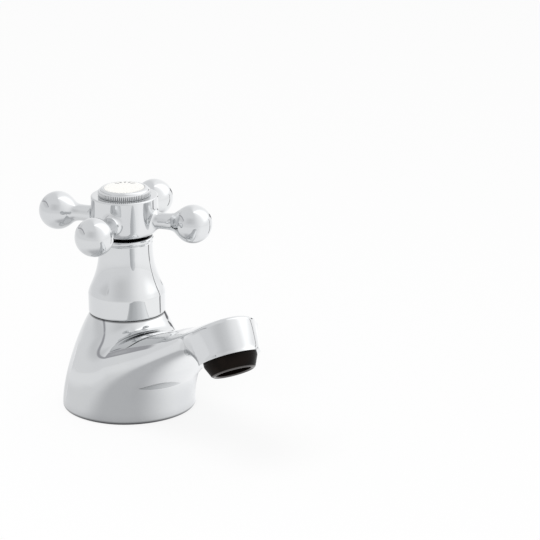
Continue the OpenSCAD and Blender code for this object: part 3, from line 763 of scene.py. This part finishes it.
def makeIndexDisc(d):
    radius, floor = d["discRadius"], d["rebate"][1]
    edge = np.array((radius - 0.08, d["bezelTop"]))
    crown = bezier([edge, edge + (-0.32, 0.45), (radius - 3, d["discTop"]), (0, d["discTop"])], 40)
    return lathe("indexDisc", path((0, floor), (radius, floor), (radius, d["discEdge"]), edge) + [crown], 160)


indexRing = makeIndexRing(index)
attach(indexRing, "handle")
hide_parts("index_ring")

indexDisc = makeIndexDisc(index)
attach(indexDisc, "handle")
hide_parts("index_disc")


# Nozzle piece under the spout's end

nozzle = {
    "radius": 9.6,
    "bandHeight": 0.9,
    "mouthRadius": 7.8,
    "height": 5.2,
    "rimRise": 0.5,
    "rimRounds": [0.35, 0.35, 0.4, 0.1],
    "rimShine": (-4.55, -4.85),
    "boreRadius": 6.3,
    "neckRadius": 8,
    "neckTop": 5.5,
}


def makeNozzle(n):
    mouth, rim, neck = n["mouthRadius"], n["rimRise"] - n["height"], n["neckRadius"]
    outer = rounded([(n["boreRadius"], rim), (mouth - 0.6, -n["height"]), (mouth + 0.1, rim),
                     (n["radius"], -n["bandHeight"]), (n["radius"], 0), (neck, 0)], n["rimRounds"])
    inner = path((neck, 0), (neck, n["neckTop"]), (n["boreRadius"], n["neckTop"]), (n["boreRadius"], rim))
    return lathe("nozzlePiece", outer + inner, 160, outletPlace)


nozzlePiece = makeNozzle(nozzle)
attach(nozzlePiece, "root")
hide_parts("spout_nozzle")
print("shroud, index and nozzle made")


# Threaded tail and its nut

tail = {
    "radius": 10.48,
    "pitch": 1.814,
    "threadDepth": 1.1,
    "flank": 2.6,  # steepness of the thread's sides
    "crestWidth": 0.15,
    "runOut": 2.5,
    "low": -46,
    "high": -3,
    "chamfer": 1.1,
    "groove": (-30, -28.8),
    "grooveRadius": 9.88,
    "shoulder": 1.8,
    "spigotRadius": 8.8,
    "top": 9.5,
    "bore": 6,
    "rowsPerTurn": 10,
    "sides": 96,
}


def makeTail(t):
    rows = int((t["high"] - t["low"]) / t["pitch"] * t["rowsPerTurn"])
    z = np.linspace(t["low"], t["high"], rows)[:, None]
    around = np.arange(t["sides"])[None] * 2 * math.pi / t["sides"]
    phase = (z / t["pitch"] - around / (2 * math.pi)) % 1
    form = np.clip(np.abs(phase - 0.5) * t["flank"] - t["crestWidth"], 0, 1)
    fade = np.clip((t["high"] - z) / t["runOut"], 0, 1)
    radius = t["radius"] - t["threadDepth"] * form * fade
    radius = np.minimum(radius, t["radius"] - t["chamfer"] + (z - t["low"]))
    inGroove = (z > t["groove"][0]) & (z < t["groove"][1])
    radius = np.where(inGroove, np.minimum(radius, t["grooveRadius"]), radius)
    rings = [np.stack([radius * np.cos(around), radius * np.sin(around), z + 0 * around], -1)]
    # plain rings above the thread, then down the bore
    for r, height in ((t["radius"], t["shoulder"]), (t["spigotRadius"], t["shoulder"]),
                      (t["spigotRadius"], t["top"]), (t["bore"], t["top"]), (t["bore"], t["low"])):
        rings.append(np.stack([r * np.cos(around), r * np.sin(around), height + 0 * around], -1))
    return ringSkin("threadedTail", np.vstack(rings), 50)


threadedTail = makeTail(tail)
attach(threadedTail, "root")
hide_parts("tail_shank")

backNutSizes = {
    "acrossFlats": 27,
    "low": -28,
    "hexTop": -21.5,
    "top": -19.5,
    "flangeRadius": 16.5,
    "flangeRound": 0.4,
    "bore": 10.52,
    "boreChamfer": (1.7, 0.7),
    "cornerCut": 1.3,
    "cornerRise": 1.2,
}


def makeBackNut(n):
    low, hexTop, top, bore = n["low"], n["hexTop"], n["top"], n["bore"]
    apothem = n["acrossFlats"] / 2
    point = apothem / math.cos(math.pi / 6)
    hexagon = lathe("backNut", [line((0, low), (point, low), (point, hexTop + 0.5), (0, hexTop + 0.5))], 6)
    # the guard chamfers the hexagon's lower corners
    guard = line((0, low - 1), (apothem - n["cornerCut"], low - 1), (point + 1, low + n["cornerRise"]),
                 (point + 1, hexTop + 1), (0, hexTop + 1))
    cut(hexagon, [lathe("guard", [guard], 120)], "INTERSECT")
    flange = rounded([(0, hexTop), (n["flangeRadius"], hexTop), (n["flangeRadius"], top), (0, top)],
                     [n["flangeRound"]] * 2)
    cut(hexagon, [lathe("flange", flange, 120)], "UNION")
    widen, rise = n["boreChamfer"]
    hole = line((0, low - 1), (bore + widen, low - 1), (bore, low + rise), (bore, top + 1), (0, top + 1))
    cut(hexagon, [lathe("hole", [hole], 96)])
    freshNormals(hexagon.data, 25)
    return hexagon


backNut = makeBackNut(backNutSizes)
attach(backNut, "root")
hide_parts("back_nut")
print("fixings made")


# Finishes

# heights and radii in millimetres: a span is its low end, its high end and its softness, and a fade
# its two ends
# painted shade: darker chrome under the shroud and the hub and along the foot, and a dark brass spindle in the
# gap under the hub
paintedShades = {
    "underShroud": {"span": (36.1, 36.95, 0.15), "fade": (15.7, 15.1), "depth": 0.75},
    "underHub": {"span": (65.8, 66.8, 0.12), "fade": (10.7, 10.2), "depth": 1.0},
    "footEdge": {"fade": (1.6, 0.5), "depth": 0.85},
    "aboveFoot": {"fade": (4.5, 0.6), "depth": 0.1},
    "spindleShadeSpan": (61.5, 68, 0.5),
    "depth": 0.9,
}


def within(paint, value, low, high, soft):
    return paint.smooth(value, low - soft, low + soft) * paint.smooth(value, high - soft, high + soft, 1, 0)


def bearing(paint, x, y):
    return paint.math("ARCTAN2", y, x) * toDegrees


def cylinderPlace(paint):
    # the angle in degrees, and the radius and height in millimetres, about the tap's upright axis
    x, y, z = paint.axes(paint.node("TexCoord", output="Object"))
    return bearing(paint, x, y), (x * x + y * y) ** 0.5 / mm, z / mm


def paintedShadeMask(paint, c, radius, height):
    # painted shade where the shroud meets the casting, under the hub, and along the foot
    underShroud, underHub = (
        within(paint, height, *gap["span"]) * paint.smooth(radius, *gap["fade"]) * gap["depth"]
        for gap in (c["underShroud"], c["underHub"]))
    footEdge, aboveFoot = (paint.smooth(height, *part["fade"]) * part["depth"]
                           for part in (c["footEdge"], c["aboveFoot"]))
    return (underShroud + underHub + footEdge + aboveFoot) * c["depth"]


def chromeFinish(reeded=False):
    material, paint = newPaint("reededChrome" if reeded else "polishedChrome")
    haze = paint.smooth(paint.noise(420, 4, 0.6), 0.4, 0.75, 0.035, 0.06)
    tint = paint.mix(paint.smooth(paint.noise(60), 0.3, 0.7), rgb(0.67, 0.68, 0.69), rgb(0.69, 0.70, 0.705))
    peel = paint.bump(paint.noise(900, 2), 0.000004, 0.5)
    around, radius, height = cylinderPlace(paint)
    if reeded:
        # painted shade in the valleys between the reeds
        wave = paint.math("COSINE", around * (index["reeds"] / toDegrees))
        dark = paint.smooth(wave, 0.5, -0.7) * within(paint, height, *index["grooveShade"]) * 0.6
    else:
        dark = paintedShadeMask(paint, paintedShades, radius, height)
    # the painted shade mixes the chrome's colour towards near black
    paint.shader(paint.mix(dark, tint, rgb(0.03, 0.03, 0.033)), haze, 1.0, peel)
    return material


def brassFinish():
    material, paint = newPaint("turnedBrass")
    rings = paint.noise(1.0, 2, 0.6, stretch=(60, 60, 9000))
    age = paint.smooth(paint.noise(150, 4), 0.35, 0.7)
    colour = paint.mix(age, rgb(0.78, 0.59, 0.29), rgb(0.62, 0.45, 0.21))
    # painted shade: the spindle is dark where the gap under the hub shows it
    height = cylinderPlace(paint)[2]
    colour = paint.mix(within(paint, height, *paintedShades["spindleShadeSpan"]), colour, rgb(0.012, 0.010, 0.008))
    dull = paint.smooth(rings, 0.3, 0.7, 0.2, 0.38) + age * 0.08
    paint.shader(colour, dull, 1.0, paint.bump(rings, 0.00002, 0.6))
    return material


def steelFinish():
    material, paint = newPaint("brightSteel")
    grain = paint.noise(1.0, 3, 0.6, stretch=(500, 500, 6000))
    colour = paint.mix(grain, rgb(0.55, 0.55, 0.57), rgb(0.68, 0.68, 0.69))
    paint.shader(colour, paint.smooth(grain, 0.3, 0.7, 0.22, 0.36), 1.0, paint.bump(grain, 0.00001, 0.5))
    return material


def mouldingFinish():
    material, paint = newPaint("blackMoulding")
    grain = paint.noise(2600, 2)
    cloud = paint.smooth(paint.noise(220), 0.3, 0.7)
    colour = paint.mix(cloud, rgb(0.0035, 0.0022, 0.0015), rgb(0.008, 0.005, 0.0035))
    # painted highlight: a paler rim round the mouth, by the height along the outlet's own axis, which also gets
    # more coat
    x, _, z = paint.axes(paint.node("TexCoord", output="Object"))
    lean = math.radians(casting["tilt"])
    along = (z / mm - casting["outlet"][1]) * math.cos(lean) - (x / mm - casting["outlet"][0]) * math.sin(lean)
    rim = paint.smooth(along, *nozzle["rimShine"])
    colour = paint.mix(rim, colour, rgb(0.09, 0.083, 0.08))
    paint.shader(colour, paint.smooth(grain, 0.3, 0.7, 0.3, 0.42), 0.0, paint.bump(grain, 0.00002, 0.35),
                 **{"Specular IOR Level": 0.04, "Coat Weight": rim * 0.5 + 0.05, "Coat Roughness": 0.18})
    return material


def plasticFinish():
    material, paint = newPaint("naturalAcetal")
    cloud = paint.noise(300, 3)
    colour = paint.mix(cloud, rgb(0.80, 0.79, 0.75), rgb(0.87, 0.86, 0.83))
    paint.shader(colour, paint.smooth(cloud, 0.3, 0.7, 0.4, 0.52), 0.0, paint.bump(cloud, 0.00002, 0.4))
    return material


def rubberFinish():
    material, paint = newPaint("sealRubber")
    speck = paint.noise(1800, 3, 0.65)
    colour = paint.mix(speck, rgb(0.022, 0.022, 0.023), rgb(0.06, 0.06, 0.06))
    paint.shader(colour, paint.smooth(speck, 0.3, 0.7, 0.65, 0.85), 0.0, paint.bump(speck, 0.00004, 0.5))
    return material


def fibreFinish():
    material, paint = newPaint("redFibre")
    strands = paint.noise(500, 5, 0.7, stretch=(1, 3.5, 6))
    colour = paint.mix(paint.smooth(strands, 0.35, 0.65), rgb(0.27, 0.07, 0.045), rgb(0.42, 0.14, 0.085))
    paint.shader(colour, paint.smooth(strands, 0.3, 0.7, 0.6, 0.8), 0.0, paint.bump(strands, 0.00005, 0.5))
    return material


def indexFinish():
    material, paint = newPaint("enamelWhite")
    around, radius, _ = cylinderPlace(paint)
    turned = (around - index["markTurn"]) / toDegrees
    spokes = paint.smooth(paint.math("COSINE", turned * (360 / index["markPitch"])), 0.15, 0.35)
    side = paint.smooth(paint.math("COSINE", turned), *index["markSpan"])
    marks = spokes * side * within(paint, radius, *index["markReach"])
    cloud = paint.noise(180, 3)
    white = paint.mix(cloud, rgb(0.87, 0.86, 0.82), rgb(0.90, 0.89, 0.86))
    colour = paint.mix(marks, white, rgb(0.05, 0.05, 0.055))
    paint.shader(colour, paint.smooth(cloud, 0.3, 0.7, 0.16, 0.24), 0.0,
                 paint.bump(marks, 0.00006, 0.6), **{"Coat Weight": 0.4, "Coat Roughness": 0.06})
    return material


finishes = {
    "chrome": chromeFinish(),
    "reeded": chromeFinish(True),
    "brass": brassFinish(),
    "steel": steelFinish(),
    "black_plastic": mouldingFinish(),
    "white_plastic": plasticFinish(),
    "rubber": rubberFinish(),
    "fibre": fibreFinish(),
    "white_index": indexFinish(),
}
slotOf = {row["node"]: row["material_slot"] for row in frame["record"]["subparts"]}
for name, node in nodes.items():
    node.data.materials.clear()
    node.data.materials.append(finishes[slotOf[name]])
for piece, finish in ((bodyCasting, "chrome"), (bellShroud, "chrome"), (crossHandle, "chrome"),
                      (indexRing, "reeded"), (indexDisc, "white_index"), (nozzlePiece, "black_plastic"),
                      (threadedTail, "brass"), (backNut, "brass")):
    piece.data.materials.clear()
    piece.data.materials.append(finishes[finish])
print("finishes made:", len(finishes))


# Studio: pale floor, white surround and soft light

studio = {
    "floorReach": 4.0,
    "floorLevel": -0.00005,
    "floorGlow": 0.86,
    "ambient": 0.75,
    "keyPower": 6.0,
    "keySize": 0.7,
    "keyPlace": (0.3, -0.5, 1.1),
    "keyAim": (0, 0, 0.03),
    "card": rgb(0.24, 0.24, 0.25),
    "cardPlace": (0.025, 0.296),
    "cardWidth": 0.016,
    "cardTop": 0.112,
}

# what polished metal sees, by degrees round the upright axis and above the level: a span is its low end,
# its high end and its softness, and a fade its two ends
surround = {
    "wall": rgb(0.88, 0.885, 0.895),
    "front": rgb(0.73, 0.735, 0.745),
    "frontSpans": ((-72, -22, 26), (14, 48, 10)),
    "shade": rgb(0.75, 0.755, 0.765),
    "shadeSpans": ((-165, -92, 8), (16, 30, 6)),
    "fill": rgb(1.16, 1.16, 1.165),
    "fillFades": ((-22, 34), (174, 138)),
    "screen": rgb(1.60, 1.60, 1.60),
    "screenSpan": (46, 112, 18),
    "screenFade": (2, 24),
    "edge": rgb(0.42, 0.42, 0.44),
    "edgeTop": 33,
    "edgeMiddle": -118,
    "edgeBend": 0.0105,
    "edgeLeast": 9.0,
    "edgeSpan": (-2.2, 2.2, 1.2),
    "edgeFade": (-86, -94),
    "farFloor": rgb(0.96, 0.965, 0.975),
    "farLit": rgb(1.22, 1.22, 1.225),
    "farSpan": (10, 142, 20),
    "farFade": (3, -9),
    "metalHeight": 0.045,  # from which the floor's angles are taken
    "ground": rgb(0.54, 0.545, 0.56),
    "leftGround": rgb(0.82, 0.825, 0.835),
    "leftFades": ((-72, -128), (225, 265)),
    "litGround": rgb(1.14, 1.145, 1.155),
    "litMiddle": 88,
    "litFades": ((-0.35, 1.0), (-120, -60)),
    "nearTurn": (1.55, 12),
    "nearFade": (-22, -42),
    "flag": rgb(0.18, 0.18, 0.19),
    "flagSpans": ((83, 89, 0.9), (-21, -8, 1.5)),
    "leanSpans": ((117.5, 129, 0.9), (-6.5, 3.5, 1)),
    "lean": 1.4,
}


def studioTone(paint, s, around, above):
    # pale walls, a bright screen, a floor with painted shade near the tap, and slim dark flags
    def patch(aroundSpan, aboveSpan):
        return within(paint, around, *aroundSpan) * within(paint, above, *aboveSpan)

    colour = paint.mix(patch(*s["frontSpans"]), s["wall"], s["front"])
    colour = paint.mix(patch(*s["shadeSpans"]), colour, s["shade"])
    start, end = s["fillFades"]
    colour = paint.mix(paint.smooth(around, *start) * paint.smooth(around, *end), colour, s["fill"])
    screen = within(paint, around, *s["screenSpan"]) * paint.smooth(above, *s["screenFade"])
    colour = paint.mix(screen, colour, s["screen"])

    # a dark edge that arches over the left side
    offset = around - s["edgeMiddle"]
    edge = paint.math("MAXIMUM", s["edgeTop"] - offset * offset * s["edgeBend"], s["edgeLeast"]) - above
    edge = within(paint, edge, *s["edgeSpan"]) * paint.smooth(around, *s["edgeFade"])
    colour = paint.mix(edge, colour, s["edge"])

    # the far floor, then the near floor below it, with painted shade near the tap and painted light on one side
    # of it
    farFloor = paint.mix(within(paint, around, *s["farSpan"]), s["farFloor"], s["farLit"])
    colour = paint.mix(paint.smooth(above, *s["farFade"]), colour, farFloor)
    turn, shift = s["nearTurn"]
    nearAround = around * turn + shift
    facing, aside = s["litFades"]
    lit = paint.smooth(paint.math("COSINE", (nearAround - s["litMiddle"]) / toDegrees), *facing)
    lit = lit * paint.smooth(nearAround, *aside)
    start, end = s["leftFades"]
    left = paint.smooth(nearAround, *start) + paint.smooth(nearAround, *end)
    nearFloor = paint.mix(lit, paint.mix(left, s["ground"], s["leftGround"]), s["litGround"])
    colour = paint.mix(paint.smooth(above, *s["nearFade"]), colour, nearFloor)

    leanSpan, leanAbove = s["leanSpans"]
    leaning = within(paint, around + above * s["lean"], *leanSpan) * within(paint, above, *leanAbove)
    return paint.mix(patch(*s["flagSpans"]) + leaning, colour, s["flag"])


def lightRays(paint):
    camera, glossy, clear = (paint.node("LightPath", output=name) for name in
                             ("Is Camera Ray", "Is Glossy Ray", "Is Transmission Ray"))
    return glossy, paint.math("MINIMUM", camera + glossy + clear, 1.0)


def makeQuad(name, corners, material):
    mesh = bpy.data.meshes.new(name)
    mesh.from_pydata(corners, [], [(0, 1, 2, 3)])
    mesh.materials.append(material)
    return addObject(name, mesh)


def makeFloor(s):
    # glossy rays see the surround on it, with painted shade near the tap, the camera a pale glow, and light a
    # plain pale floor
    material, paint = newPaint("paleFloor")
    diffuse = paint.node("BsdfDiffuse", {}, {"Color": rgb(0.9, 0.9, 0.9)})
    glossy, seen = lightRays(paint)
    x, y, _ = paint.axes(paint.node("NewGeometry", output="Position"))
    distance = (x * x + y * y) ** 0.5
    above = paint.math("ARCTANGENT", -surround["metalHeight"] / distance) * toDegrees
    tone = paint.mix(glossy, rgb(1, 1, 1), studioTone(paint, surround, bearing(paint, x, y), above))
    glow = paint.node("Emission", {}, {"Color": tone, "Strength": 1.0})
    blended = paint.node("MixShader", {}, {0: seen * s["floorGlow"], 1: diffuse, 2: glow})
    under = paint.node("BsdfTransparent")
    back = paint.node("NewGeometry", output="Backfacing")
    sided = paint.node("MixShader", {}, {0: back, 1: blended, 2: under})
    paint.node("OutputMaterial", {}, {"Surface": sided})
    reach, level = s["floorReach"], s["floorLevel"]
    corners = [(-reach, -reach, level), (reach, -reach, level), (reach, reach, level), (-reach, reach, level)]
    floor = makeQuad("studioFloor", corners, material)


def makeCard(s):
    # a slim dark card beside the tap, which only polished surfaces see
    material, paint = newPaint("darkCard")
    glow = paint.node("Emission", {}, {"Color": s["card"], "Strength": 1.0})
    paint.node("OutputMaterial", {}, {"Surface": glow})
    (x, y), half, top = s["cardPlace"], s["cardWidth"] / 2, s["cardTop"]
    corners = [(x - half, y, 0), (x + half, y, 0), (x + half, y, top), (x - half, y, top)]
    card = makeQuad("sideCard", corners, material)
    card.visible_camera = card.visible_diffuse = card.visible_shadow = card.visible_transmission = False


def makeWorld(s):
    world = bpy.data.worlds.new("studioWorld")
    bpy.context.scene.world = world
    world.use_nodes = True
    paint = Paint(world.node_tree)
    glossy, seen = lightRays(paint)
    x, y, z = paint.axes(paint.node("TexCoord", output="Generated"))
    above = paint.math("ARCSINE", z) * toDegrees
    tone = paint.mix(glossy, rgb(1, 1, 1), studioTone(paint, surround, bearing(paint, x, y), above))
    ambient = paint.node("Background", {}, {"Color": rgb(1, 1, 1), "Strength": s["ambient"]})
    backdrop = paint.node("Background", {}, {"Color": tone, "Strength": 1.0})
    both = paint.node("MixShader", {}, {0: seen, 1: ambient, 2: backdrop})
    paint.node("OutputWorld", {}, {"Surface": both})


def softLamp(name, place, aim, size, power):
    lamp = bpy.data.lights.new(name, "AREA")
    lamp.shape, lamp.size, lamp.energy = "DISK", size, power
    made = addObject(name, lamp)
    made.location = place
    made.rotation_mode = "QUATERNION"
    made.rotation_quaternion = (Vector(aim) - Vector(place)).to_track_quat("-Z", "Y")
    made.visible_glossy = False


makeFloor(studio)
makeCard(studio)
makeWorld(studio)
softLamp("keyLamp", studio["keyPlace"], studio["keyAim"], studio["keySize"], studio["keyPower"])


# Camera at the photograph's place: metres and degrees, and millimetres for the lens and the sensor

view = {
    "place": (0.899078, -0.419444, 0.367766),
    "azimuth": 61.9,
    "down": 17.6907,
    "roll": -0.5388,
    "lens": 186.22,
    "sensor": 36,
    "clip": (0.05, 20),
}


def makeCamera(v):
    a, e, r = (math.radians(v[k]) for k in ("azimuth", "down", "roll"))
    back = Vector((math.sin(a) * math.cos(e), -math.cos(a) * math.cos(e), math.sin(e)))
    level = Vector((math.cos(a), math.sin(a), 0))
    up = back.cross(level)
    right = level * math.cos(r) + up * math.sin(r)
    top = up * math.cos(r) - level * math.sin(r)
    lens = bpy.data.cameras.new("photoCamera")
    lens.sensor_width, lens.lens = v["sensor"], v["lens"]
    lens.clip_start, lens.clip_end = v["clip"]
    camera = addObject("photoCamera", lens)
    columns = (right, top, back, v["place"])
    camera.matrix_world = Matrix([[column[i] for column in columns] for i in range(3)] + [[0, 0, 0, 1]])
    bpy.context.scene.camera = camera


makeCamera(view)
bpy.context.scene.view_settings.view_transform = "Standard"

print("studio and camera made")
